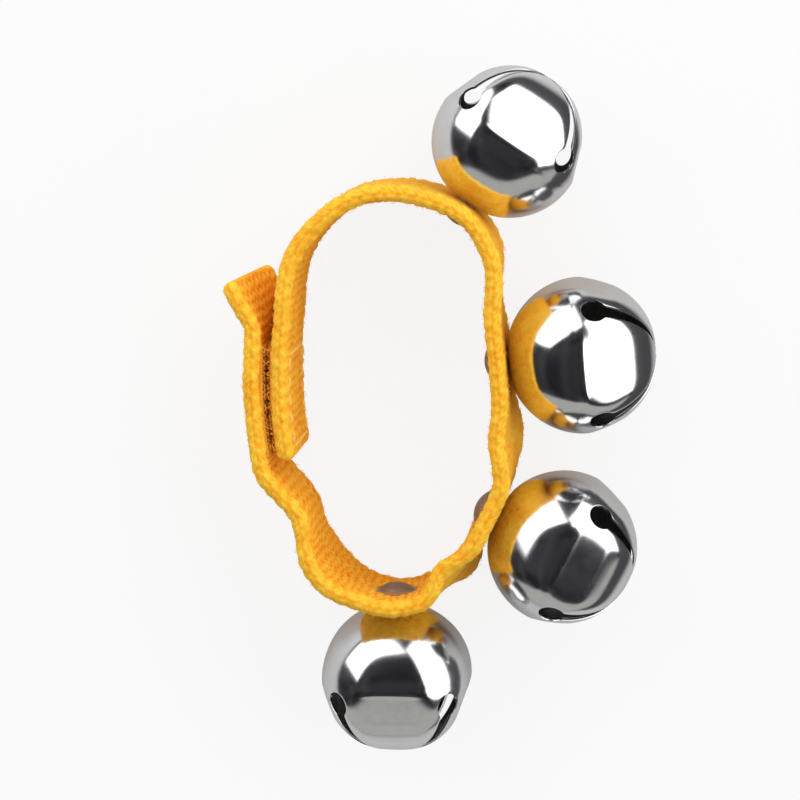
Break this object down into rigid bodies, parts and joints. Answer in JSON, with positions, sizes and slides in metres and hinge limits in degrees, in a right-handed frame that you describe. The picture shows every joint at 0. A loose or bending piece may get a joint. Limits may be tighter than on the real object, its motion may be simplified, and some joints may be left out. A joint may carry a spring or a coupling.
{
  "type": "wrist bells",
  "caption": "Webbing strap closed into a hand loop by hook-and-loop tape, with slotted chrome jingle bells riveted along its outside to ring when shaken.",
  "frame": {"origin": "centre of the hand loop, halfway across the webbing", "axes": "+Z along the loop's axis, +Y along its long way towards the first bell, +X towards the side that carries the middle bells"},
  "size_m": [0.0784, 0.1297, 0.029],
  "materials": {
    "webbing": "coarse woven",
    "loop_tape": "brushed loops",
    "hook_tape": "stiff hooks",
    "thread": "sewing thread",
    "bell_chrome": "mirror plated",
    "rivet_chrome": "plated",
    "washer_steel": "plain",
    "pellet_steel": "plain"
  },
  "bodies": {
    "strap": {"strap_band": "webbing", "loop_tape": "loop_tape", "loop_tape_stitching": "thread", "rivet_1": "rivet_chrome", "rivet_2": "rivet_chrome", "rivet_3": "rivet_chrome", "rivet_4": "rivet_chrome", "strap_washer_1": "washer_steel", "strap_washer_2": "washer_steel", "strap_washer_3": "washer_steel", "strap_washer_4": "washer_steel", "crown_washer_1": "washer_steel", "crown_washer_2": "washer_steel", "crown_washer_3": "washer_steel", "crown_washer_4": "washer_steel"},
    "flap": {"strap_flap": "webbing", "hook_tape": "hook_tape", "hook_tape_stitching": "thread"},
    "bell_1": {"bell_shell_1": "bell_chrome"},
    "pellet_1": {"pellet_1": "pellet_steel"},
    "bell_2": {"bell_shell_2": "bell_chrome"},
    "pellet_2": {"pellet_2": "pellet_steel"},
    "bell_3": {"bell_shell_3": "bell_chrome"},
    "pellet_3": {"pellet_3": "pellet_steel"},
    "bell_4": {"bell_shell_4": "bell_chrome"},
    "pellet_4": {"pellet_4": "pellet_steel"}
  },
  "joints": [
    {"name": "flap_peel", "type": "hinge", "parent": "strap", "child": "flap", "pos_m": [-0.01864, -0.02213, 0], "axis": [0, 0, 1], "range_deg": [0, 100]},
    {"name": "bell_1_swivel", "type": "hinge", "parent": "strap", "child": "bell_1", "pos_m": [0.0121, 0.03598, 0], "axis": [0.5562, 0.831, 0], "continuous": true},
    {"name": "pellet_1_travel", "type": "slide", "parent": "bell_1", "child": "pellet_1", "axis": [0, 0, 1], "range_m": [0, 0.0184]},
    {"name": "bell_2_swivel", "type": "hinge", "parent": "strap", "child": "bell_2", "pos_m": [0.01927, 0.00756, 0], "axis": [0.996, 0.0888, 0], "continuous": true},
    {"name": "pellet_2_travel", "type": "slide", "parent": "bell_2", "child": "pellet_2", "axis": [0, 0, 1], "range_m": [0, 0.0184]},
    {"name": "bell_3_swivel", "type": "hinge", "parent": "strap", "child": "bell_3", "pos_m": [0.01754, -0.02082, 0], "axis": [0.8957, -0.4447, 0], "continuous": true},
    {"name": "pellet_3_travel", "type": "slide", "parent": "bell_3", "child": "pellet_3", "axis": [0, 0, 1], "range_m": [0, 0.0184]},
    {"name": "bell_4_swivel", "type": "hinge", "parent": "strap", "child": "bell_4", "pos_m": [-0.00023, -0.03776, 0], "axis": [0.0071, -1, 0], "continuous": true},
    {"name": "pellet_4_travel", "type": "slide", "parent": "bell_4", "child": "pellet_4", "axis": [0, 0, 1], "range_m": [0, 0.0184]}
  ]
}
